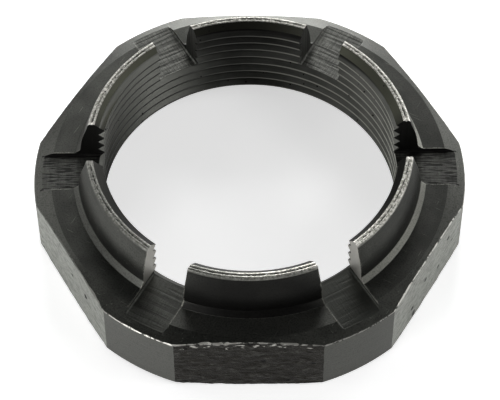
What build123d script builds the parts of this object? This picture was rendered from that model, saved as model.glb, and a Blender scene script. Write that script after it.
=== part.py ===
from build123d import *
from math import cos, radians, sin, tan
import os

# Stub axle nut: a thin hexagonal castle nut for an M80 x 3 axle thread, one piece of steel.
# Millimetres, +Z up along the thread axis. The origin is the middle of the bearing face,
# so the nut stands on it. Two of the six flats face +Y and -Y.

# Hexagonal body
across_flats = 105.0
corner_out = 3.2            # how far the six turned corners stand out past the flats
body_h = 20.0               # bearing face to the flat face round the collar
top_chamfer_w = 4.5         # width of the top chamfer at the corners, along the radius
top_slope = 20.5            # degrees that the top chamfer falls below the horizontal
seat_chamfer_w = 4.2        # width of the bottom chamfer at the corners, along the radius
seat_slope = 16.0           # degrees that the bottom chamfer rises

# Collar that carries the slots
height = 32.0               # overall
collar_w = 5.7              # from the thread's major radius out to the edge of the collar's foot
foot_w = 1.5                # width and height of the flared foot, along the radius and the axis
foot_h = 1.4
wall_lean = 14.0            # degrees that the outside of the collar leans in
rim_round = 1.2             # rounding of the collar's outer top edge

# Castle slots for the split pin
slot_w = 11.4
slot_sink = 0.9             # how far the slot floors lie below the flat face
slot_corner_r = 0.7         # rounding along the bottom corners of each slot
slot_turn = 1.0             # degrees that the slots stand round from the hexagon's corners
slot_offsets = (0.45, 0.0, -0.6)    # how far each pair of slots is milled off centre

# Threaded bore, plain here at the thread's minor diameter
thread_d = 80.0
pitch = 3.0
thread_depth = 0.5413 * pitch
mouth_gap = 0.4             # the upper mouth stays this much inside the thread's major radius
mouth_angle = 26.0          # degrees of the upper mouth from the axis
recess_gap = 4.0            # the recess in the bearing face clears the major radius by this much
recess_h = 5.0
lead_in_gap = 0.4           # the lower lead-in opens this much past the major radius

major_r = thread_d / 2
minor_r = major_r - thread_depth
mouth_r = major_r - mouth_gap
lead_in_r = major_r + lead_in_gap
recess_r = major_r + recess_gap
foot_r = major_r + collar_w
corner_r = across_flats / 2 + corner_out
face_r = corner_r - top_chamfer_w
seat_r = corner_r - seat_chamfer_w

# Heights where the two chamfers cross the turned corners
corner_top = body_h - top_chamfer_w * tan(radians(top_slope))
corner_bottom = seat_chamfer_w * tan(radians(seat_slope))

# The collar's outside, from the top of its foot up to the rim
wall_foot_r = foot_r - foot_w
wall_foot_z = body_h + foot_h
rim_r = wall_foot_r - (height - wall_foot_z) * tan(radians(wall_lean))

# The bore's ends
mouth_z = height - (mouth_r - minor_r) / tan(radians(mouth_angle))
lead_in_z = recess_h + (lead_in_r - minor_r)

slot_floor = body_h - slot_sink
cut_past = 1.0              # cutters run this far past the metal


with BuildPart() as nut:
    # Turned blank: body, flat face, chamfers and collar in one section
    with BuildSketch(Plane.XZ) as blank:
        with BuildLine():
            Polyline(
                (0, 0),
                (seat_r, 0),
                (corner_r, corner_bottom),
                (corner_r, corner_top),
                (face_r, body_h),
                (foot_r, body_h),
                (wall_foot_r, wall_foot_z),
                (rim_r, height),
                (0, height),
                close=True,
            )
        make_face()
        rim_corner = blank.vertices().group_by(Axis.Y)[-1].sort_by(Axis.X)[-1]
        fillet(rim_corner, rim_round)
    revolve(axis=Axis.Z)

    # Six flats
    with BuildSketch(Plane.XY):
        RegularPolygon(across_flats / 2, 6, major_radius=False)
    extrude(amount=height, mode=Mode.INTERSECT)

    # Bore with its recess, lead-in and upper mouth
    with BuildSketch(Plane.XZ):
        with BuildLine():
            Polyline(
                (0, -cut_past),
                (recess_r, -cut_past),
                (recess_r, recess_h),
                (lead_in_r, recess_h),
                (minor_r, lead_in_z),
                (minor_r, mouth_z),
                (mouth_r, height),
                (mouth_r, height + cut_past),
                (0, height + cut_past),
                close=True,
            )
        make_face()
    revolve(axis=Axis.Z, mode=Mode.SUBTRACT)

    # Six slots, milled straight across in three opposite pairs
    slot_top = height + cut_past
    for pass_number, offset in enumerate(slot_offsets):
        heading = radians(slot_turn + pass_number * 60)
        along = (cos(heading), sin(heading), 0)
        across = (-sin(heading), cos(heading), 0)
        with BuildSketch(Plane(origin=(0, 0, 0), x_dir=across, z_dir=along)) as cutter:
            with Locations((offset, (slot_floor + slot_top) / 2)):
                Rectangle(slot_w, slot_top - slot_floor)
            fillet(cutter.vertices().group_by(Axis.Z)[0], slot_corner_r)
        extrude(amount=corner_r + cut_past, both=True, mode=Mode.SUBTRACT)


nut.part.label = "axle_nut"
os.makedirs("parts", exist_ok=True)
export_step(nut.part, "parts/axle_nut.step")
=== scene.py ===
from math import cos, hypot, pi, radians, sin, tan

import bmesh
import bpy
from mathutils import Matrix, Vector, noise


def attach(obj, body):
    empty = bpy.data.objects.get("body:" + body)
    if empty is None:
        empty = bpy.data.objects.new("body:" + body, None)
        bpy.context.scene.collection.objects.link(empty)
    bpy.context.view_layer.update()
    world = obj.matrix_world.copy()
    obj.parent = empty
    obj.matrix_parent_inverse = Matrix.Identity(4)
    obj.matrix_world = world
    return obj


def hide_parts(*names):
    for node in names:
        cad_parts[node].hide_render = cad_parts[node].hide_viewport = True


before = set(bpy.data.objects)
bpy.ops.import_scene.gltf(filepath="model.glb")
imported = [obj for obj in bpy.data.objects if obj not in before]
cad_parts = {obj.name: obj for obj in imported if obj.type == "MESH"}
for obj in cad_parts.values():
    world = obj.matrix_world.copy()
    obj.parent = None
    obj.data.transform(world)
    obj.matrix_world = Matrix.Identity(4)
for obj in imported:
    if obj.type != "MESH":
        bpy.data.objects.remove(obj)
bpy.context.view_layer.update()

# Stub axle nut, M80 x 3. The nut is shaped in millimetres and brought to metres at the end.
# +Z runs up the thread axis from the bearing face, and two of the six flats face +Y and -Y.
MM = 0.001

# Hexagonal body
ACROSS_FLATS = 105.0
CORNER_R = 55.7             # the six corners are turned to this radius
BODY_TOP = 20.0             # height of the flat face round the collar
FACE_R = 51.2               # outside of that flat face, where the top chamfer begins
CORNER_TOP = 18.32          # where the top chamfer meets the turned corners
SEAT_R = 51.5               # outside of the bearing face
CORNER_FOOT = 1.2           # where the bottom chamfer meets the turned corners
EDGE_W = 0.12               # how far the top edge of flats and corners is worn away at the least
EDGE_LEAN = 0.9             # the worn edge leans in this much for each millimetre it rises
CORNER_CHIPS = 1.3          # the turned corners are chipped this many times as deep as the flats
FLAT_BORDER = 2.5           # near a corner, the skin of a flat is calmer over this width

# Collar
HEIGHT = 32.0
FOOT_R = 45.7               # where the collar's foot meets the flat face
WALL_R = 44.2               # radius and height of the top of the flared foot
WALL_FOOT = 21.4
RIM_FOOT = 31.0             # the bright worn rim begins at this height
RIM_TOP = 31.97
GROOVE_OUT = 40.82          # outside and inside of the fine groove round the rim
GROOVE_IN = 40.66
GROOVE_FILL = 0.26          # how far the groove is hammered shut between its pits

# Slots, milled straight across in three opposite pairs
SLOT_W = 11.4
SLOT_FLOOR = 19.1
SLOT_CORNER_R = 0.7
SLOT_TURN = 1.0             # degrees that the slots stand round from the hexagon's corners
SLOT_OFFSETS = (0.45, 0.0, -0.6)    # how far each pair of slots is milled off centre
SLOT_INNER_R = 36.0         # along a slot, its faces lie further out than this
SIDE_SLOTS = 14.0           # the left and right slots lie less than this far to the back and front
OTHER_SLOTS = 20.0          # and the other four lie further off than this
WALL_MARGIN = 0.3           # places this close to a slot's wall still count as the slot's

# Thread
PITCH = 3.0
THREAD_TURNS = 16           # turns of the core that shapes the thread, which runs past both ends of the nut
TURNS_BELOW = 12            # how many of them lie below CREST_AT_RIGHT
CREST_R = 38.08             # inside of the crests and outside of the roots
ROOT_R = 39.5
CREST_LAND = 0.4            # width of the crests and of the roots, along the axis
ROOT_LAND = 0.2
CREST_AT_RIGHT = 27.75      # height of one crest where the thread passes +X
PINCH_FROM = 18.5           # above this height the fingers are pinched in a little, and the thread with them,
PINCH = 0.0043              # by this many millimetres times the square of the height above it

# Ends of the bore
BLANK_BORE_R = CREST_R - 2.4    # bore of the turned blank, before it is tapped
MOUTH_R = 39.95             # outer edge of the upper mouth, and its height
MOUTH_TOP = 31.85
MOUTH_LEAN = 43.0           # degrees of the upper mouth from the axis
RECESS_R = 44.0             # recess in the bearing face
RECESS_TOP = 5.0
LEAD_IN_R = 40.4            # the lead-in above the recess narrows from this radius at 45 degrees

TOP_SLOPE = (BODY_TOP - CORNER_TOP) / (CORNER_R - FACE_R)
SEAT_SLOPE = CORNER_FOOT / (CORNER_R - SEAT_R)
MOUTH_RISE = 1 / tan(radians(MOUTH_LEAN))
FLAT_R = ACROSS_FLATS / 2
FLAT_HALF = (CORNER_R ** 2 - FLAT_R ** 2) ** 0.5    # from the middle of a flat to its border

# Numbers of the finishes on the nut, in the order in which make_nut adds them
TURNED, CHIPPED, MILLED, TAPPED, WORN, ROUGH = range(6)

# Fineness of the mesh
TURNED_STEPS = 720          # steps round a turned surface
THREAD_STEPS = 240          # steps in one turn of the thread
FLAT_COLUMNS = 120          # cells across one side of the rough bar
FLAT_ROWS = 36              # cells up its side, below the worn edge
EDGE_ROWS = 17              # finer cells where the worn edge is
SHARP_OVER = 16             # edges that bend by more degrees than this stay sharp
SAME_POINT = 0.0005         # vertices closer than this are merged

CUT_PAST = 3.0              # the slot cutter runs this far past the metal
CORE_PAST = 4.0             # and the core of the thread this far


# Workshop

def take(piece):
    """Leave only this piece selected, and make it the active one."""
    bpy.ops.object.select_all(action="DESELECT")
    piece.select_set(True)
    bpy.context.view_layer.objects.active = piece


def edit(piece):
    """Open this piece in edit mode, with all of it selected."""
    take(piece)
    bpy.ops.object.mode_set(mode="EDIT")
    bpy.ops.mesh.select_all(action="SELECT")


def done():
    """Leave edit mode."""
    bpy.ops.object.mode_set(mode="OBJECT")


def close_up():
    """Merge the doubles of the piece in hand and turn its faces outwards."""
    bpy.ops.mesh.select_all(action="SELECT")
    bpy.ops.mesh.remove_doubles(threshold=SAME_POINT)
    bpy.ops.mesh.normals_make_consistent(inside=False)


def section_line(name, points):
    """A chain of edges in the XZ plane through these (radius, height) points, drawn from one vertex."""
    bpy.ops.object.select_all(action="DESELECT")
    bpy.ops.mesh.primitive_plane_add(size=1.0, location=(0, 0, 0))
    piece = bpy.context.object
    piece.name = name
    edit(piece)
    bpy.ops.mesh.merge(type="CENTER")
    at = Vector((0.0, 0.0, 0.0))
    for step, (r, z) in enumerate(points):
        to = Vector((r, 0.0, z))
        if step == 0:
            bpy.ops.transform.translate(value=to - at)
        else:
            bpy.ops.mesh.extrude_region_move(TRANSFORM_OT_translate={"value": to - at})
        at = to
    return piece


def turn(name, points, steps):
    """A ring turned about the Z axis from a closed section."""
    piece = section_line(name, list(points) + [points[0]])
    bpy.ops.mesh.select_all(action="SELECT")
    bpy.ops.mesh.spin(steps=steps, angle=2 * pi, center=(0, 0, 0), axis=(0, 0, 1))
    close_up()
    done()
    return piece


def finish_with(piece, kind, **settings):
    """Put a modifier on the piece and apply it."""
    take(piece)
    modifier = piece.modifiers.new(kind.title(), kind)
    for name, value in settings.items():
        setattr(modifier, name, value)
    bpy.ops.object.modifier_apply(modifier=modifier.name)


def cut(piece, cutter, operation="DIFFERENCE"):
    finish_with(piece, "BOOLEAN", operation=operation, solver="EXACT", object=cutter)
    bpy.data.objects.remove(cutter)


def flat_headings():
    """Which way the six flats face, counted from +X."""
    return [radians(30 + 60 * side) for side in range(6)]


def flat_reach(place):
    """How far a place stands out towards the nearest flat."""
    return max(place.x * cos(h) + place.y * sin(h) for h in flat_headings())


# The nut

def blank_section():
    """The turned section of body and collar, as (radius, height) points. Its bore is small enough to leave
    metal for the thread."""
    seat_chamfer = [(SEAT_R + w, w * SEAT_SLOPE) for w in (0.0, 1.4, 2.8)]
    broken_edge = [(CORNER_R - 0.15, CORNER_FOOT - 0.04), (CORNER_R, CORNER_FOOT + 0.1)]
    corner = [(CORNER_R, z) for z in (6.0, 12.0, CORNER_TOP - EDGE_W)]
    top_chamfer = [(CORNER_R - w, CORNER_TOP + w * TOP_SLOPE) for w in (EDGE_W, 1.5, 3.0)]
    face = [(r, BODY_TOP) for r in (FACE_R, 48.5, FOOT_R)]
    foot = [(45.6, 20.03), (44.5, 21.03), (44.3, 21.22)]
    wall = [(WALL_R, WALL_FOOT), (44.05, 22.6), (43.87, 23.9), (43.65, 25.2), (43.35, 26.5),
            (42.95, 27.8), (42.5, 29.1), (42.14, 30.1), (41.98, 30.7)]
    rim = [(41.88, 31.2), (41.76, 31.56), (41.58, 31.8), (41.36, RIM_TOP - 0.02), (41.12, RIM_TOP),
           (40.94, 31.9), (GROOVE_OUT, 31.68), (GROOVE_IN, 31.66), (40.54, 31.86),
           (40.4, RIM_TOP), (40.2, RIM_TOP)]
    mouth = [(MOUTH_R, MOUTH_TOP), (BLANK_BORE_R, MOUTH_TOP - (MOUTH_R - BLANK_BORE_R) * MOUTH_RISE)]
    lead_in = [(BLANK_BORE_R, RECESS_TOP + LEAD_IN_R - BLANK_BORE_R), (LEAD_IN_R, RECESS_TOP)]
    recess = [(RECESS_R, RECESS_TOP), (RECESS_R, 0.0)]
    body = seat_chamfer + broken_edge + corner + top_chamfer + face
    return body + foot + wall + rim + mouth + lead_in + recess


def chip(place):
    """How deep the top edge is chipped here. The front has taken the most knocks, the back next to none."""
    knocks = 0.75 * min(1.0, max(0.25, 0.5 - 0.55 * place.y / CORNER_R) ** 2)
    spot = Vector((place.x, place.y, 0.0))
    flakes = max(0.0, noise.cell(spot * 0.42)) * 0.18
    dents = max(0.0, noise.noise(spot * 0.3 + Vector((5.0, 2.0, 0.0)))) * 0.26
    crumbs = noise.noise(spot * 1.3 + Vector((1.0, 7.0, 3.0))) * 0.08
    return max(0.0, flakes + dents + crumbs) * knocks


def wear_turned_edges(piece):
    """Chip the top edge of the turned corners, roughen the rim and hammer its groove shut in places, which
    leaves a broken line of pits."""
    edit(piece)
    mesh = bmesh.from_edit_mesh(piece.data)
    for vert in mesh.verts:
        r = hypot(vert.co.x, vert.co.y)
        if r > CORNER_R - 0.5 and vert.co.z > CORNER_TOP - 1.0:
            depth = chip(vert.co) * CORNER_CHIPS
            if vert.co.z < CORNER_TOP:
                vert.co.z -= depth
            else:
                vert.co += Vector((-vert.co.x / r, -vert.co.y / r, TOP_SLOPE)) * depth * 0.8
        elif vert.co.z > RIM_FOOT + 0.3 and r > MOUTH_R + 0.05:
            vert.co.z += noise.noise(vert.co * 0.9) * 0.06 - abs(noise.noise(vert.co * 2.6)) * 0.04
            if GROOVE_IN - 0.05 < r < GROOVE_OUT + 0.05:
                spot = Vector((vert.co.x, vert.co.y, 0.0))
                filled = 0.55 + 2.2 * noise.noise(spot * 1.1 + Vector((3.0, 0.0, 8.0)))
                vert.co.z += max(0.0, min(1.0, filled)) * GROOVE_FILL
    bmesh.update_edit_mesh(piece.data)
    done()


def flat_skin(place, outward):
    """How far the rough skin of a flat stands in or out. The front flat is the roughest."""
    large = Vector((place.x * 0.32, place.y * 0.32, place.z * 0.75 + 9.0))
    small = Vector((place.x * 0.8, place.y * 0.8, place.z * 1.5))
    rough = 0.45 + 0.75 * max(0.0, -outward.y) ** 4
    aside = abs(place.x * -outward.y + place.y * outward.x)
    calm = min(1.0, max(0.15, (FLAT_HALF - aside) / FLAT_BORDER))
    return (noise.noise(large) * 0.22 + noise.noise(small) * 0.12) * rough * calm


def rough_bar():
    """The hexagonal bar that the nut was sawn from, with the rough skin of the flats. Its sides lean in where
    the top edge of each flat is worn and chipped, and flare out past the collar above that."""
    low, high = -1.0, BODY_TOP + 0.6
    fine = CORNER_TOP - 1.1     # the rows are finer above this height
    past_corner = 1.5           # the skin runs on this far past the border of each flat
    flare = 1.3
    bpy.ops.object.select_all(action="DESELECT")
    bpy.ops.mesh.primitive_cylinder_add(vertices=6, radius=FLAT_R / cos(radians(30)), depth=high - low,
                                        end_fill_type="NOTHING", location=(0, 0, (low + high) / 2),
                                        rotation=(0, 0, radians(30)))
    bar = bpy.context.object
    bar.name = "rough_bar"
    bpy.ops.object.transform_apply(location=True, rotation=True, scale=True)
    edit(bar)
    rows = FLAT_ROWS + EDGE_ROWS
    for upright, cuts in ((True, rows - 1), (False, FLAT_COLUMNS - 1)):
        mesh = bmesh.from_edit_mesh(bar.data)
        for edge in mesh.edges:
            run = (edge.verts[1].co - edge.verts[0].co).normalized()
            edge.select_set((abs(run.z) > 0.9) == upright)
        bmesh.update_edit_mesh(bar.data)
        bpy.ops.mesh.subdivide(number_cuts=cuts)
    mesh = bmesh.from_edit_mesh(bar.data)
    for vert in mesh.verts:
        row = round((vert.co.z - low) / (high - low) * rows)
        if row <= FLAT_ROWS:
            vert.co.z = low + (fine - low) * row / FLAT_ROWS
        else:
            vert.co.z = fine + (high - fine) * (row - FLAT_ROWS) / EDGE_ROWS
        heading = max(flat_headings(), key=lambda h: vert.co.x * cos(h) + vert.co.y * sin(h))
        outward = Vector((cos(heading), sin(heading), 0.0))
        aside = vert.co.x * -outward.y + vert.co.y * outward.x
        if abs(aside) < FLAT_HALF + past_corner:
            edge_height = BODY_TOP - (hypot(FLAT_R, aside) - FACE_R) * TOP_SLOPE
            worn = (edge_height - vert.co.z) * EDGE_LEAN - EDGE_W - chip(vert.co)
            vert.co += outward * min(flat_skin(vert.co, outward), worn)
    bmesh.update_edit_mesh(bar.data)
    for level in (high, low):
        bpy.ops.mesh.select_all(action="DESELECT")
        mesh = bmesh.from_edit_mesh(bar.data)
        for edge in mesh.edges:
            edge.select_set(all(abs(v.co.z - level) < 0.01 for v in edge.verts))
        bmesh.update_edit_mesh(bar.data)
        if level == high:
            bpy.ops.mesh.extrude_region_move(TRANSFORM_OT_translate={"value": (0, 0, HEIGHT)})
            bpy.ops.transform.resize(value=(flare, flare, 1.0), center_override=(0, 0, 0))
        bpy.ops.mesh.edge_face_add()
    close_up()
    bpy.ops.mesh.select_all(action="SELECT")
    bpy.ops.mesh.quads_convert_to_tris(quad_method="BEAUTY", ngon_method="BEAUTY")
    done()
    return bar


def slot_cutter(heading, offset):
    """A bar as wide as a slot, with its two lower edges rounded."""
    top = HEIGHT + CUT_PAST
    along = Vector((cos(radians(heading)), sin(radians(heading)), 0.0))
    aside = Vector((-along.y, along.x, 0.0)) * offset
    bpy.ops.object.select_all(action="DESELECT")
    bpy.ops.mesh.primitive_cube_add(size=1.0, location=aside + Vector((0, 0, (SLOT_FLOOR + top) / 2)),
                                    rotation=(0, 0, radians(heading)),
                                    scale=(2 * (CORNER_R + CUT_PAST), SLOT_W, top - SLOT_FLOOR))
    bar = bpy.context.object
    bar.name = "slot_cutter"
    bpy.ops.object.transform_apply(location=True, rotation=True, scale=True)
    edit(bar)
    mesh = bmesh.from_edit_mesh(bar.data)
    for edge in mesh.edges:
        run = (edge.verts[1].co - edge.verts[0].co).normalized()
        low = all(v.co.z < SLOT_FLOOR + 0.01 for v in edge.verts)
        edge.select_set(low and abs(run.dot(along)) > 0.99)
    bmesh.update_edit_mesh(bar.data)
    bpy.ops.mesh.bevel(offset=SLOT_CORNER_R, segments=7, affect="EDGES")
    done()
    return bar


def thread_core(bottom, top):
    """The solid that fills the tapped bore: a right-hand helix of the thread's section, pinched in towards
    its top and sawn off square."""
    flank = (PITCH - CREST_LAND - ROOT_LAND) / 2
    start = CREST_AT_RIGHT - TURNS_BELOW * PITCH - CREST_LAND / 2
    steps = [(CREST_R, 0.0), (CREST_R, CREST_LAND), (ROOT_R, CREST_LAND + flank),
             (ROOT_R, CREST_LAND + flank + ROOT_LAND), (CREST_R, PITCH)]
    section = [(r, start + z) for r, z in steps]
    core = section_line("thread_core", section)
    done()
    finish_with(core, "SCREW", axis="Z", angle=2 * pi, screw_offset=PITCH, iterations=THREAD_TURNS,
                steps=THREAD_STEPS, render_steps=THREAD_STEPS, use_merge_vertices=False)
    edit(core)
    bpy.ops.mesh.remove_doubles(threshold=SAME_POINT)
    mesh = bmesh.from_edit_mesh(core.data)
    for vert in mesh.verts:
        pinch = PINCH * max(0.0, vert.co.z - PINCH_FROM) ** 2 / hypot(vert.co.x, vert.co.y)
        vert.co.x, vert.co.y = vert.co.x * (1 - pinch), vert.co.y * (1 - pinch)
    bmesh.update_edit_mesh(core.data)
    for height, outward in ((bottom, -1.0), (top, 1.0)):
        bpy.ops.mesh.select_all(action="SELECT")
        bpy.ops.mesh.bisect(plane_co=(0, 0, height), plane_no=(0, 0, outward), use_fill=True,
                            clear_outer=True, threshold=0.0001)
    close_up()
    done()
    return core


def sort_finishes(piece):
    """Give each face the number of its finish, from where it lies and which way it faces."""
    for face in piece.data.polygons:
        x, y, z = face.center
        r, way = hypot(x, y), face.normal
        inward = (way.x * x + way.y * y) / r < -0.05
        reach = flat_reach(face.center)
        outermost = r > CORNER_R - 1.0 or reach > FLAT_R - 1.0
        sloping = 0.25 < way.z < 0.88
        upright = abs(way.z) < 0.5
        if outermost and sloping and z > CORNER_TOP - 1.5:
            face.material_index = CHIPPED
        elif upright and reach > FLAT_R - 0.6 and r < CORNER_R - 0.01:
            face.material_index = ROUGH
        elif in_slot(face):
            face.material_index = MILLED
        elif z > RIM_FOOT and r > MOUTH_R - 0.05:
            face.material_index = WORN
        elif r < LEAD_IN_R and (inward or r < ROOT_R + 0.05):
            face.material_index = TAPPED
        else:
            face.material_index = TURNED


def in_slot(face):
    """Whether a face is a floor, a wall or a rounded corner of a slot."""
    x, y, z = face.center
    for k, offset in enumerate(SLOT_OFFSETS):
        heading = radians(SLOT_TURN + 60 * k)
        across = Vector((-sin(heading), cos(heading), 0.0))
        aside = x * across.x + y * across.y - offset
        if abs(aside) < SLOT_W / 2 + 0.01 and z > SLOT_FLOOR - 0.01:
            along = x * cos(heading) + y * sin(heading)
            if abs(along) > SLOT_INNER_R:
                return True
    return False


def make_nut():
    """Turn the blank, give it flats, mill the slots, tap the bore, and bring it to metres."""
    nut = turn("castle_nut", blank_section(), TURNED_STEPS)
    for finish in (turned_face, chipped_edge, milled_slot, tapped_bore, worn_rim, rough_flat):
        nut.data.materials.append(finish())
    wear_turned_edges(nut)
    cut(nut, rough_bar(), "INTERSECT")
    for k, offset in enumerate(SLOT_OFFSETS):
        cut(nut, slot_cutter(SLOT_TURN + 60 * k, offset))
    cut(nut, thread_core(-CORE_PAST, HEIGHT + CORE_PAST))
    edit(nut)
    close_up()
    done()
    sort_finishes(nut)
    edit(nut)
    bpy.ops.transform.resize(value=(MM, MM, MM), center_override=(0, 0, 0))
    done()
    take(nut)
    bpy.ops.object.shade_smooth_by_angle(angle=radians(SHARP_OVER))
    finish_with(nut, "WEIGHTED_NORMAL", mode="FACE_AREA", weight=50, keep_sharp=True)
    return nut


# Finishes

class Bench:
    """Lays nodes in one tree and joins them up. Each step gives the socket that holds its result."""

    def __init__(self, tree):
        self.tree = tree

    def join(self, value, socket):
        """Link another node's output to this socket, or set it to a plain value."""
        if isinstance(value, bpy.types.NodeSocket):
            self.tree.links.new(value, socket)
        else:
            socket.default_value = value

    def put(self, kind, inputs=None, **settings):
        node = self.tree.nodes.new(kind)
        for name, value in settings.items():
            setattr(node, name, value)
        for name, value in (inputs or {}).items():
            self.join(value, node.inputs[name])
        return node

    def sum(self, operation, first, second=0.0, third=0.0):
        """One step of arithmetic."""
        node = self.put("ShaderNodeMath", operation=operation)
        for value, socket in zip((first, second, third), node.inputs):
            self.join(value, socket)
        return node.outputs[0]

    def times(self, *factors):
        """All of these multiplied together."""
        product = factors[0]
        for factor in factors[1:]:
            product = self.sum("MULTIPLY", product, factor)
        return product

    def rest(self, share):
        """What is left of 1 without this share."""
        return self.sum("SUBTRACT", 1.0, share)

    def fade(self, value, start, stop, low=0.0, high=1.0):
        """Runs smoothly from low at start to high at stop."""
        limits = {"Value": value, "From Min": start, "From Max": stop, "To Min": low, "To Max": high}
        return self.put("ShaderNodeMapRange", limits, interpolation_type="SMOOTHSTEP").outputs["Result"]

    def blend(self, share, under, over):
        """This share of the colour over, on the colour under."""
        node = self.put("ShaderNodeMix", data_type="RGBA")
        for value, name in ((share, "Factor_Float"), (under, "A_Color"), (over, "B_Color")):
            self.join(value, next(i for i in node.inputs if i.identifier == name))
        return next(o for o in node.outputs if o.identifier == "Result_Color")

    def vector(self, x, y, z):
        return self.put("ShaderNodeCombineXYZ", {"X": x, "Y": y, "Z": z}).outputs[0]

    def noise(self, vector, scale, detail=2.0, dimensions="3D", **inputs):
        values = {"Vector": vector, "Scale": scale, "Detail": detail}
        values.update(inputs)
        return self.put("ShaderNodeTexNoise", values, noise_dimensions=dimensions).outputs["Fac"]

    def effect(self, group, **inputs):
        node = self.put("ShaderNodeGroup", node_tree=group)
        for name, value in inputs.items():
            self.join(value, node.inputs[name])
        return node.outputs


def effect_group(name, inputs, outputs):
    """An empty effect with these sockets. Gives its tree, its bench, what comes in, and the sockets for what
    goes out."""
    tree = bpy.data.node_groups.new(name, "ShaderNodeTree")
    kinds = {"value": "NodeSocketFloat", "vector": "NodeSocketVector"}
    for label, kind in inputs.items():
        tree.interface.new_socket(name=label, in_out="INPUT", socket_type=kinds[kind])
    for label, kind in outputs.items():
        tree.interface.new_socket(name=label, in_out="OUTPUT", socket_type=kinds[kind])
    bench = Bench(tree)
    return tree, bench, bench.put("NodeGroupInput").outputs, bench.put("NodeGroupOutput").inputs


def nut_places():
    """Where a place lies on the nut, in millimetres. Along slot and Across slot are 0 outside the slots."""
    tree, on, _, out = effect_group("nut_places", {}, {
        "Place": "vector", "To the right": "value", "To the back": "value", "Height": "value",
        "Radius": "value", "Round": "vector", "From slot edge": "value", "Along slot": "value",
        "Across slot": "value"})
    spot = on.put("ShaderNodeTexCoord").outputs["Object"]
    place = on.put("ShaderNodeVectorMath", {0: spot, "Scale": 1 / MM}, operation="SCALE").outputs[0]
    axes = on.put("ShaderNodeSeparateXYZ", {0: place}).outputs
    x, y, z = axes["X"], axes["Y"], axes["Z"]
    radius = on.sum("SQRT", on.sum("ADD", on.times(x, x), on.times(y, y)))
    edge = along = across = None
    for k, offset in enumerate(SLOT_OFFSETS):
        heading = radians(SLOT_TURN + 60 * k)
        middle = on.sum("MULTIPLY_ADD", x, -sin(heading), on.times(y, cos(heading)))
        aside = on.sum("SUBTRACT", middle, offset)
        run = on.sum("MULTIPLY_ADD", x, cos(heading), on.times(y, sin(heading)))
        gap = on.sum("SUBTRACT", on.sum("ABSOLUTE", aside), SLOT_W / 2)
        within = on.sum("LESS_THAN", gap, WALL_MARGIN)
        here = on.sum("ABSOLUTE", gap)
        edge = here if edge is None else on.sum("MINIMUM", edge, here)
        along_here, across_here = on.times(within, run), on.times(within, aside)
        along = along_here if along is None else on.sum("ADD", along, along_here)
        across = across_here if across is None else on.sum("ADD", across, across_here)
    divisor = on.sum("MAXIMUM", radius, 0.001)
    on.join(place, out["Place"])
    on.join(x, out["To the right"])
    on.join(y, out["To the back"])
    on.join(radius, out["Radius"])
    on.join(z, out["Height"])
    on.join(on.vector(on.sum("DIVIDE", x, divisor), on.sum("DIVIDE", y, divisor), 0.0), out["Round"])
    on.join(edge, out["From slot edge"])
    on.join(along, out["Along slot"])
    on.join(across, out["Across slot"])
    return tree


def turning_marks():
    """Fine rings left by the lathe, which come and go round the part."""
    tree, on, given, out = effect_group("turning_marks", {
        "Radius": "value", "Height": "value", "Round": "vector", "Spacing": "value"}, {"Marks": "value"})
    way = on.put("ShaderNodeSeparateXYZ", {0: given["Round"]}).outputs
    rings = on.vector(on.sum("DIVIDE", given["Radius"], given["Spacing"]),
                      on.sum("DIVIDE", given["Height"], given["Spacing"]), on.times(way["X"], 1.6))
    lines = on.noise(rings, 1.0, 2.0, "4D", W=on.times(way["Y"], 1.6))
    on.join(on.fade(lines, 0.3, 0.7), out["Marks"])
    return tree


def cutter_marks():
    """Ridges across a milled slot and the scores that run along it."""
    tree, on, given, out = effect_group("cutter_marks", {"Along": "value", "Across": "value"},
                                        {"Ridges": "value", "Scores": "value"})
    ridges = on.vector(on.times(given["Along"], 0.8), on.times(given["Across"], 0.04), 0.0)
    scores = on.vector(on.times(given["Across"], 3.0), on.times(given["Along"], 0.2), 4.0)
    on.join(on.fade(on.noise(ridges, 1.0, 2.5), 0.4, 0.56), out["Ridges"])
    on.join(on.fade(on.noise(scores, 1.0, 2.5), 0.44, 0.58), out["Scores"])
    return tree


def pitting():
    """Small pits, scattered thinly: Share is how many of the cells have one."""
    tree, on, given, out = effect_group("pitting", {"Place": "vector", "Cell": "value", "Share": "value"},
                                        {"Pits": "value"})
    per_cell = on.sum("DIVIDE", 1.0, given["Cell"])
    spot = on.put("ShaderNodeVectorMath", {0: given["Place"], "Scale": per_cell}, operation="SCALE")
    cells = on.put("ShaderNodeTexVoronoi", {"Vector": spot.outputs[0], "Scale": 1.0}).outputs
    draw = on.put("ShaderNodeSeparateXYZ", {0: cells["Color"]}).outputs
    chosen = on.sum("LESS_THAN", draw["X"], given["Share"])
    size = on.sum("MULTIPLY_ADD", draw["Y"], 0.22, 0.14)
    inside = on.rest(on.fade(on.sum("DIVIDE", cells["Distance"], size), 0.6, 1.1))
    on.join(on.times(chosen, inside), out["Pits"])
    return tree


def edge_wear():
    """Bare metal along an edge, broken up: 1 at the edge, fading out over about Width. More Breaks leave less
    of it."""
    tree, on, given, out = effect_group("edge_wear", {
        "Place": "vector", "Distance": "value", "Width": "value", "Breaks": "value"}, {"Wear": "value"})
    uneven = on.noise(given["Place"], 0.9, 3.0)
    width = on.times(given["Width"], on.fade(uneven, 0.3, 0.7, 0.35, 1.5))
    near = on.rest(on.fade(on.sum("DIVIDE", given["Distance"], width), 0.45, 1.0))
    gaps = on.fade(on.sum("SUBTRACT", on.noise(given["Place"], 2.1, 2.0), given["Breaks"]), -0.06, 0.06)
    on.join(on.times(near, gaps), out["Wear"])
    return tree


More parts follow.
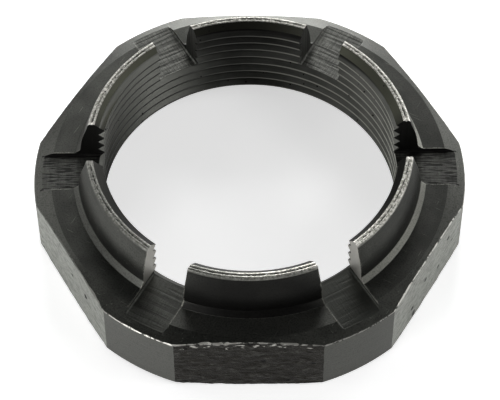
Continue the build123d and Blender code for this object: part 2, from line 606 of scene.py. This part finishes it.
def mottle():
    """Uneven oxide: broad blotches and a fine grain."""
    tree, on, given, out = effect_group("mottle", {"Place": "vector"}, {"Blotch": "value", "Grain": "value"})
    on.join(on.fade(on.noise(given["Place"], 0.11, 3.0), 0.32, 0.68), out["Blotch"])
    on.join(on.fade(on.noise(given["Place"], 2.6, 3.0), 0.25, 0.75), out["Grain"])
    return tree


def scratches():
    """A few hair-fine scratches in odd directions."""
    tree, on, given, out = effect_group("scratches", {"Place": "vector"}, {"Lines": "value"})
    found = None
    for turned, start in ((0.5, 0.0), (2.1, 40.0)):
        laid = on.put("ShaderNodeVectorRotate", {"Vector": given["Place"], "Angle": turned},
                      rotation_type="Z_AXIS").outputs[0]
        line = on.put("ShaderNodeMapping", {"Vector": laid, "Location": (start, start, start),
                                            "Scale": (3.4, 0.16, 3.4)}).outputs[0]
        bright = on.fade(on.noise(line, 1.0, 1.0), 0.71, 0.76)
        found = bright if found is None else on.sum("MAXIMUM", found, bright)
    on.join(found, out["Lines"])
    return tree


EFFECTS = {}


def lay_out_effects():
    for make in (nut_places, turning_marks, cutter_marks, pitting, edge_wear, mottle, scratches):
        EFFECTS[make.__name__] = make()


OXIDE = (0.038, 0.0395, 0.035, 1)           # the dark coat on the whole nut
OXIDE_THIN = (0.06, 0.0615, 0.055, 1)       # the coat where it has gone pale
OXIDE_GREY = (0.09, 0.091, 0.083, 1)        # the coat on the thread
RUBBED_OXIDE_AND_SHEEN = (0.125, 0.127, 0.115, 1)     # the coat rubbed thin, as on the turned corners, and painted sheen on the top chamfer, the collar and the left of the bore
OXIDE_OLIVE = (0.052, 0.053, 0.04, 1)       # the coat inside the upper mouth
PALE_SCALE_AND_SHEEN = (0.32, 0.33, 0.3, 1)           # grey scale on the flats, and a painted reflection on the turned corners at the far left and right
FRONT_FLAT_SHADE = (0.03, 0.028, 0.024, 1)        # painted shade that makes the front flat black
SOOT_AND_SHADE = (0.006, 0.0055, 0.0055, 1)           # dirt in pits and marks, and painted shade
RUBBED_AND_HIGHLIGHT = (0.24, 0.24, 0.21, 1)              # steel that shines through the coat, and painted highlights on the collar's foot and the crests of the thread
BARE_AND_PAINTED_LIGHT = (0.55, 0.54, 0.5, 1)                 # steel that shows where the coat is gone, and painted light on the walls of the front slots


class Finish:
    """One finish of the nut: starts a material and gives what its effects put out. Places are millimetres to
    the right, to the back and up from the middle of the bearing face. Where a place comes as a pair, a change
    begins at the first and is complete at the second."""

    def __init__(self, name):
        self.material = bpy.data.materials.new(name)
        self.material.use_nodes = True
        self.on = Bench(self.material.node_tree)
        self.shader = self.material.node_tree.nodes["Principled BSDF"]
        self.places = self.on.effect(EFFECTS["nut_places"])
        self.place = self.places["Place"]

    def right(self, start, stop, low=0.0, high=1.0):
        return self.on.fade(self.places["To the right"], start, stop, low, high)

    def back(self, start, stop, low=0.0, high=1.0):
        return self.on.fade(self.places["To the back"], start, stop, low, high)

    def up(self, start, stop, low=0.0, high=1.0):
        return self.on.fade(self.places["Height"], start, stop, low, high)

    def out(self, start, stop, low=0.0, high=1.0):
        return self.on.fade(self.places["Radius"], start, stop, low, high)

    def turned(self, spacing):
        """Lathe marks this far apart."""
        return self.on.effect(EFFECTS["turning_marks"], Radius=self.places["Radius"],
                              Height=self.places["Height"], Round=self.places["Round"],
                              Spacing=spacing)["Marks"]

    def pitted(self, cell, share):
        """Pits, one at most in each cell of this many millimetres, and in this share of the cells."""
        return self.on.effect(EFFECTS["pitting"], Place=self.place, Cell=cell, Share=share)["Pits"]

    def mottled(self):
        return self.on.effect(EFFECTS["mottle"], Place=self.place)

    def metal(self, colour, roughness, height, depth, metallic=0.9):
        """Join the finish to its shader: height 0 to 1 stands for depth in millimetres."""
        on = self.on
        on.join(colour, self.shader.inputs["Base Color"])
        on.join(roughness, self.shader.inputs["Roughness"])
        self.shader.inputs["Metallic"].default_value = metallic
        bump = on.put("ShaderNodeBump", {"Height": height, "Distance": depth * MM, "Strength": 1.0})
        on.join(bump.outputs[0], self.shader.inputs["Normal"])
        return self.material


def turned_face():
    """Flat face, top chamfer, foot, collar wall and turned corners, in dark oxide."""
    f = Finish("turned_face")
    on = f.on
    marks, spots = f.turned(0.35), f.mottled()
    chamfer = f.out(FACE_R - 0.05, FACE_R + 0.05)
    corner = f.out(CORNER_R - 0.4, CORNER_R - 0.1)
    raised = f.up(BODY_TOP + 0.04, BODY_TOP + 0.12)
    level = on.rest(on.sum("MAXIMUM", chamfer, raised))
    colour = on.blend(spots["Blotch"], OXIDE, OXIDE_THIN)

    # The chamfer is painted palest at the sides, a painted reflection. The flat face is rubbed along the
    # front, and painted darker on the right as painted shade.
    chamfer_sheen = on.times(f.back(-36.0, -22.0, 0.0, 0.55), f.back(8.0, 25.0, 1.0, 0.55))
    colour = on.blend(on.times(chamfer, chamfer_sheen), colour, RUBBED_OXIDE_AND_SHEEN)
    colour = on.blend(on.times(level, f.back(-41.0, -46.0, 0.0, 0.4)), colour, RUBBED_OXIDE_AND_SHEEN)
    colour = on.blend(on.times(level, f.right(30.0, 40.0, 0.0, 0.22)), colour, SOOT_AND_SHADE)

    # The collar is painted dark at the front and low down as painted shade, and painted lighter on the upper
    # left and along its foot as painted highlights, brightest towards the right of the foot.
    painted_shade = on.times(f.back(-36.0, -42.0, 0.0, 0.75), raised)
    colour = on.blend(painted_shade, colour, SOOT_AND_SHADE)
    colour = on.blend(on.times(raised, f.up(WALL_FOOT + 0.5, 27.0, 0.4, 0.0)), colour, SOOT_AND_SHADE)
    colour = on.blend(on.times(f.up(24.5, 28.0), f.right(-18.0, -32.0, 0.0, 0.5)), colour, RUBBED_OXIDE_AND_SHEEN)
    foot = on.times(raised, f.back(-43.0, -37.0, 0.0, 0.75), f.up(WALL_FOOT - 0.1, WALL_FOOT, 1.0, 0.0))
    foot_highlight_colour = on.blend(f.right(0.0, 30.0, 0.0, 0.55), RUBBED_OXIDE_AND_SHEEN, RUBBED_AND_HIGHLIGHT)
    colour = on.blend(foot, colour, foot_highlight_colour)

    # The turned corners are rubbed, with painted shade that keeps them duller on the right, and a painted
    # reflection makes them pale at the far left and right.
    colour = on.blend(on.times(corner, f.right(-10.0, 10.0, 1.0, 0.7)), colour, RUBBED_OXIDE_AND_SHEEN)
    middle = on.fade(on.sum("ABSOLUTE", f.places["To the back"]), 10.0, 36.0, 0.45, 0.0)
    colour = on.blend(on.times(corner, middle), colour, PALE_SCALE_AND_SHEEN)

    # Grain, lathe marks, scratches and worn slot edges
    colour = on.blend(on.fade(spots["Grain"], 0.55, 0.15, 0.0, 0.35), colour, SOOT_AND_SHADE)
    colour = on.blend(on.times(marks, 0.1), colour, SOOT_AND_SHADE)
    lines = on.effect(EFFECTS["scratches"], Place=f.place)["Lines"]
    colour = on.blend(on.times(lines, on.fade(painted_shade, 0.0, 0.2, 0.3, 0.0)), colour, RUBBED_AND_HIGHLIGHT)
    wear = on.effect(EFFECTS["edge_wear"], Place=f.place, Distance=f.places["From slot edge"], Width=0.3,
                     Breaks=0.42)["Wear"]
    wear = on.times(wear, f.up(BODY_TOP - 0.5, BODY_TOP - 0.1), f.back(12.0, 18.0, 1.0, 0.2))
    colour = on.blend(on.times(wear, 0.6), colour, RUBBED_AND_HIGHLIGHT)
    rough = on.sum("MULTIPLY_ADD", spots["Grain"], 0.14, 0.38)
    return f.metal(colour, rough, on.sum("ADD", on.times(marks, 0.5), spots["Grain"]), 0.012)


def milled_slot():
    """Slots: scored along on the left and right, and ridged across in the others. Their walls are painted
    bright at the front as painted light, and painted dark at the sides and the back as painted shade; the
    floors of the front slots are darker."""
    f = Finish("milled_slot")
    on = f.on
    cutter = on.effect(EFFECTS["cutter_marks"], Along=f.places["Along slot"], Across=f.places["Across slot"])
    spots = f.mottled()
    side = on.fade(on.sum("ABSOLUTE", f.places["To the back"]), SIDE_SLOTS - 2.0, SIDE_SLOTS, 1.0, 0.0)
    front = f.back(-SIDE_SLOTS, -OTHER_SLOTS)
    floor = f.up(SLOT_FLOOR + 0.5, SLOT_FLOOR + 0.9, 1.0, 0.0)
    wall = on.rest(floor)
    calm = f.back(-SIDE_SLOTS, -OTHER_SLOTS, 1.0, 0.6)
    ridges = on.times(cutter["Ridges"], calm, on.sum("MULTIPLY_ADD", side, -0.75, 1.0))
    scores = on.times(cutter["Scores"], calm, on.sum("MULTIPLY_ADD", side, 0.45, 0.35))
    colour = on.blend(ridges, OXIDE_THIN, RUBBED_OXIDE_AND_SHEEN)
    colour = on.blend(on.times(scores, floor), colour, SOOT_AND_SHADE)
    colour = on.blend(on.fade(spots["Grain"], 0.55, 0.15, 0.0, 0.35), colour, SOOT_AND_SHADE)
    # Painted shade in the rounded corner at the foot of the walls of the left and right slots
    corner = on.fade(on.sum("ABSOLUTE", f.places["Across slot"]), SLOT_W / 2 - 0.9, SLOT_W / 2 - 0.6)
    colour = on.blend(on.times(corner, side, floor, 0.85), colour, SOOT_AND_SHADE)
    colour = on.blend(on.times(front, floor, f.right(-10.0, 10.0, 0.4, 0.85)), colour, OXIDE)
    # Painted light: the walls of the front slots are painted bright steel
    colour = on.blend(on.times(front, wall), colour, BARE_AND_PAINTED_LIGHT)
    # Painted shade on the walls of the left and right slots, and lighter painted shade on those at the back
    painted_shade = on.sum("MAXIMUM", on.times(side, 0.8), f.back(SIDE_SLOTS, OTHER_SLOTS, 0.0, 0.35))
    colour = on.blend(on.times(painted_shade, wall), colour, SOOT_AND_SHADE)
    rough = on.sum("MULTIPLY_ADD", spots["Grain"], 0.15, 0.42)
    return f.metal(colour, rough, on.sum("SUBTRACT", ridges, scores), 0.04)


def tapped_bore():
    """Thread and upper mouth. On the right the crests get a painted highlight and the groove under the mouth
    painted shade.
    Further left the roots get painted shade, and on the far left the flanks get a painted sheen and the
    crests painted shade.
    The fingers at the back get painted shade towards their top; the mouth is painted dark at the back and
    darker over the front half."""
    f = Finish("tapped_bore")
    on = f.on
    marks, spots, pits = f.turned(0.2), f.mottled(), f.pitted(1.2, 0.05)
    over = on.sum("MAXIMUM", on.sum("SUBTRACT", f.places["Height"], PINCH_FROM), 0.0)
    crest_r = on.sum("SUBTRACT", CREST_R, on.times(over, over, PINCH))
    depth = on.sum("SUBTRACT", f.places["Radius"], crest_r)
    crest = on.fade(depth, 0.03, 0.12, 1.0, 0.0)
    right = f.right(-4.0, 18.0)
    left = f.right(-10.0, -22.0)
    colour = on.blend(spots["Blotch"], OXIDE_THIN, OXIDE_GREY)
    colour = on.blend(on.times(marks, 0.15), colour, SOOT_AND_SHADE)
    # Painted highlight: the crests on the right are painted bright
    colour = on.blend(on.times(crest, right), colour, RUBBED_AND_HIGHLIGHT)
    # Painted shade in the roots, away from the right
    root = on.times(on.fade(depth, 1.0, 1.3, 0.0, 0.85), on.fade(right, 0.1, 0.6, 1.0, 0.0))
    colour = on.blend(root, colour, SOOT_AND_SHADE)
    # Painted sheen on the flanks at the far left, and painted shade on the crests there
    colour = on.blend(on.times(left, 0.6), colour, RUBBED_OXIDE_AND_SHEEN)
    colour = on.blend(on.times(left, crest, 0.8), colour, SOOT_AND_SHADE)
    # Painted shade on the back fingers towards their top, lighter on the crests
    back_finger_shade = on.times(f.back(30.0, 36.0), f.up(20.0, 25.0))
    colour = on.blend(on.times(back_finger_shade, on.sum("MULTIPLY_ADD", crest, -0.35, 0.55)), colour, SOOT_AND_SHADE)
    # Painted shade in the groove just under the mouth, on the right
    lip_shade = on.times(f.up(28.8, 29.3, 0.0, 0.92), on.fade(depth, 0.08, 0.25), right)
    colour = on.blend(lip_shade, colour, SOOT_AND_SHADE)

    # The mouth is what lies on its cone, and all that is further down is thread
    on_cone = on.sum("SUBTRACT", MOUTH_TOP - MOUTH_R * MOUTH_RISE, f.places["Height"])
    below = on.sum("MULTIPLY_ADD", f.places["Radius"], MOUTH_RISE, on_cone)
    thread = on.fade(below, 0.03, 0.15)
    # The mouth is painted darker over the front half, and dark at the back as painted shade
    mouth_darkened = on.sum("MAXIMUM", f.back(12.0, 4.0, 0.0, 0.85), f.back(33.0, 37.0, 0.0, 0.6))
    colour = on.blend(on.rest(thread), colour, on.blend(mouth_darkened, OXIDE_OLIVE, SOOT_AND_SHADE))
    colour = on.blend(pits, colour, SOOT_AND_SHADE)
    rough = on.sum("MULTIPLY_ADD", spots["Grain"], 0.1, 0.36)
    return f.metal(colour, rough, on.sum("SUBTRACT", on.times(marks, 0.4), pits), 0.02)


def worn_rim():
    """Rim of the collar, hammered bright all round but duller on the front left finger. Dirt lies in its
    groove and pits, but not at the ends of the fingers."""
    f = Finish("worn_rim")
    on = f.on
    spots, pits = f.mottled(), f.pitted(0.9, 0.25)
    middle = (GROOVE_IN + GROOVE_OUT) / 2
    groove = on.fade(on.sum("ABSOLUTE", on.sum("SUBTRACT", f.places["Radius"], middle)), 0.08, 0.22, 1.0, 0.0)
    broken = on.fade(on.noise(f.place, 1.9, 2.0), 0.46, 0.54)
    ends = on.fade(f.places["From slot edge"], 0.4, 1.4, 1.0, 0.0)
    dirt = on.times(on.sum("MAXIMUM", on.times(pits, 0.7), on.times(groove, broken)), on.rest(ends))
    dull = on.times(f.back(8.0, -12.0), f.right(5.0, -15.0))
    uneven = on.noise(f.place, 1.6, 3.0)
    colour = on.blend(on.sum("MAXIMUM", ends, on.fade(uneven, 0.42, 0.6)), RUBBED_AND_HIGHLIGHT, BARE_AND_PAINTED_LIGHT)
    colour = on.blend(f.out(41.5, 41.95), colour, RUBBED_OXIDE_AND_SHEEN)
    colour = on.blend(on.times(dull, 0.7), colour, OXIDE_THIN)
    colour = on.blend(on.times(dirt, 0.85), colour, SOOT_AND_SHADE)
    rough = on.sum("MULTIPLY_ADD", spots["Grain"], 0.2, 0.36)
    return f.metal(colour, rough, on.sum("SUBTRACT", uneven, dirt), 0.06)


def rough_flat():
    """Sides of the hexagon: grey scale drawn out along the bar, and painted shade that makes the front flat
    black.
    """
    f = Finish("rough_flat")
    on = f.on
    spots, pits = f.mottled(), f.pitted(3.2, 0.16)
    along_bar = on.vector(on.times(f.places["To the right"], 0.45), on.times(f.places["To the back"], 0.45),
                          on.times(f.places["Height"], 1.2))
    drawn = on.noise(along_bar, 1.0, 5.0, Roughness=0.62)
    # Painted shade: the front flat is painted black, the others keep the grey scale
    front_flat = f.back(-0.985 * FLAT_R, -0.96 * FLAT_R, 1.0, 0.0)
    colour = on.blend(front_flat, PALE_SCALE_AND_SHEEN, FRONT_FLAT_SHADE)
    colour = on.blend(on.times(front_flat, on.fade(drawn, 0.55, 0.68, 0.0, 0.5)), colour, RUBBED_OXIDE_AND_SHEEN)
    colour = on.blend(on.fade(drawn, 0.35, 0.6, 0.35, 0.0), colour, SOOT_AND_SHADE)
    colour = on.blend(pits, colour, SOOT_AND_SHADE)
    relief = on.times(on.sum("MULTIPLY_ADD", spots["Grain"], 0.4, drawn),
                      on.sum("MULTIPLY_ADD", front_flat, 2.6, 0.7))
    rough = on.sum("MULTIPLY_ADD", spots["Grain"], 0.15, 0.48)
    return f.metal(colour, rough, on.sum("SUBTRACT", relief, pits), 0.1)


def chipped_edge():
    """Top edge of flats and corners: knocked bare in places, least so on the left."""
    f = Finish("chipped_edge")
    on = f.on
    bare = on.fade(on.noise(f.place, 0.9, 3.0), 0.38, 0.5)
    bare = on.times(bare, f.right(-44.0, -26.0, 0.15, 0.8), f.right(24.0, 34.0, 1.0, 0.9))
    colour = on.blend(bare, OXIDE_THIN, BARE_AND_PAINTED_LIGHT)
    return f.metal(colour, on.sum("MULTIPLY_ADD", bare, -0.1, 0.5), on.noise(f.place, 2.0, 2.0), 0.05)


# Camera, light and floor

CAMERA_RISE = 54.385        # degrees above the horizontal
CAMERA_YAW = 0.432          # degrees round from straight ahead
CAMERA_ROLL = -0.277        # degrees that it leans over to one side
CAMERA_RANGE = 0.6076       # metres from the point that it looks at
LOOK_AT = Vector((0.00007, 0.0, 0.00664))    # in metres, as the nut is by then
LENS = 166.4                # focal length and width of the film, in millimetres
FILM_W = 36.0


def camera():
    """A long lens, a little over 54 degrees above the nut and straight in front of the front flat."""
    rise, yaw, roll = radians(CAMERA_RISE), radians(CAMERA_YAW), radians(CAMERA_ROLL)
    back = Vector((sin(yaw) * cos(rise), -cos(yaw) * cos(rise), sin(rise)))
    right = Vector((cos(yaw), sin(yaw), 0.0))
    up = back.cross(right)
    across = cos(roll) * right + sin(roll) * up
    upward = cos(roll) * up - sin(roll) * right
    lens = bpy.data.cameras.new("camera")
    lens.lens, lens.sensor_width = LENS, FILM_W
    lens.clip_start, lens.clip_end = 0.01, 20.0
    eye = bpy.data.objects.new("camera", lens)
    bpy.context.collection.objects.link(eye)
    turn_matrix = Matrix((across, upward, back)).transposed().to_4x4()
    eye.matrix_world = Matrix.Translation(LOOK_AT + back * CAMERA_RANGE) @ turn_matrix
    bpy.context.scene.camera = eye


# Soft boxes round the nut: heading and height in degrees, and strength in watts
SOFTBOXES = {
    "back_low": (90, 12, 5.6),
    "back_high": (90, 40, 1.65),
    "back_right": (45, 12, 2.9),
    "back_left": (150, 25, 1.4),
    "right_low": (0, 12, 1.3),
    "right_high": (340, 45, 1.4),
    "left_high": (180, 40, 0.7),
    "front_left": (225, 15, 3.7),
}
SOFTBOX_RANGE = 0.85        # metres from the nut
SOFTBOX_SIZE = (0.4, 0.32)  # width and height in metres
ROOM_GLOW = 0.02            # faint light from all round
PAPER_R = 3.0               # radius in metres of the sheet that the nut stands on
PAPER_SEEN = 0.6            # glow of the paper to the camera, which keeps it pale in the nut's shadow
PAPER_IN_METAL = 0.35       # glow of the paper that shows in the metal


def softbox(name, heading, rise, watts):
    """A rectangular lamp that faces the nut."""
    lamp = bpy.data.lights.new(name, "AREA")
    lamp.shape = "RECTANGLE"
    lamp.size, lamp.size_y = SOFTBOX_SIZE
    lamp.energy = watts
    box = bpy.data.objects.new(name, lamp)
    bpy.context.collection.objects.link(box)
    flat, tall = radians(heading), radians(rise)
    towards = Vector((cos(flat) * cos(tall), sin(flat) * cos(tall), sin(tall)))
    box.location = towards * SOFTBOX_RANGE
    box.rotation_euler = towards.to_track_quat("Z", "Y").to_euler()


def paper():
    """White paper. Its slight glow is seen by the camera and in the metal, and lights nothing."""
    material = bpy.data.materials.new("white_paper")
    material.use_nodes = True
    on = Bench(material.node_tree)
    shader = material.node_tree.nodes["Principled BSDF"]
    shader.inputs["Base Color"].default_value = (0.9, 0.9, 0.9, 1)
    shader.inputs["Roughness"].default_value = 0.9
    shader.inputs["Emission Color"].default_value = (1, 1, 1, 1)
    ray = on.put("ShaderNodeLightPath").outputs
    mirrored = on.times(on.sum("MAXIMUM", ray["Is Glossy Ray"], ray["Is Transmission Ray"]), PAPER_IN_METAL)
    glow = on.sum("MULTIPLY_ADD", ray["Is Camera Ray"], PAPER_SEEN, mirrored)
    on.join(glow, shader.inputs["Emission Strength"])
    return material


def studio():
    """The soft boxes, the faint light of the room and the white paper under the nut."""
    for name, (heading, rise, watts) in SOFTBOXES.items():
        softbox(name, heading, rise, watts)
    world = bpy.data.worlds.new("studio")
    bpy.context.scene.world = world
    world.use_nodes = True
    world.node_tree.nodes["Background"].inputs["Color"].default_value = (1, 1, 1, 1)
    world.node_tree.nodes["Background"].inputs["Strength"].default_value = ROOM_GLOW

    bpy.ops.object.select_all(action="DESELECT")
    bpy.ops.mesh.primitive_circle_add(vertices=96, radius=PAPER_R, fill_type="NGON", location=(0, 0, 0))
    floor = bpy.context.object
    floor.name = "floor"
    floor.data.materials.append(paper())


lay_out_effects()
nut = make_nut()
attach(nut, "root")
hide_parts("axle_nut")

camera()
studio()
bpy.context.scene.view_settings.view_transform = "Standard"
